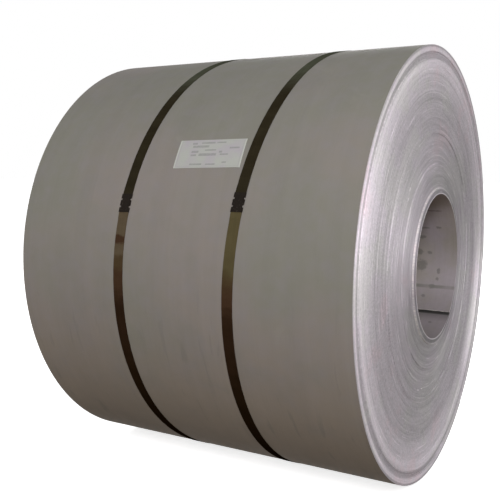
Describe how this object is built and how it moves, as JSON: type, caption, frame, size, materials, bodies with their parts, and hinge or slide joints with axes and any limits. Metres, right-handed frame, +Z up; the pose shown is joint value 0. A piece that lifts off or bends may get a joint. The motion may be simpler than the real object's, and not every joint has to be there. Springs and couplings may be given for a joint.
{
  "type": "steel coil",
  "caption": "Roll of wound steel strip lying on its side, with a round bore, flat steel straps with crimped seals, and a blank paper label.",
  "frame": {"origin": "on the floor under the middle of the coil, where the straps rest", "axes": "+X along the coil's axis to the end with the pushed-out inner turns, +Z up, -Y to the side with the label and seals"},
  "size_m": [1.239, 1.5124, 1.5124],
  "materials": {
    "strip_steel": "matte",
    "strap_steel": "satin",
    "seal_steel": "satin",
    "label_paper": "matte"
  },
  "bodies": {
    "root": {"strip_coil": "strip_steel", "strap_1": "strap_steel", "strap_2": "strap_steel", "seal_1": "seal_steel", "seal_2": "seal_steel", "label_sheet": "label_paper"}
  },
  "joints": []
}
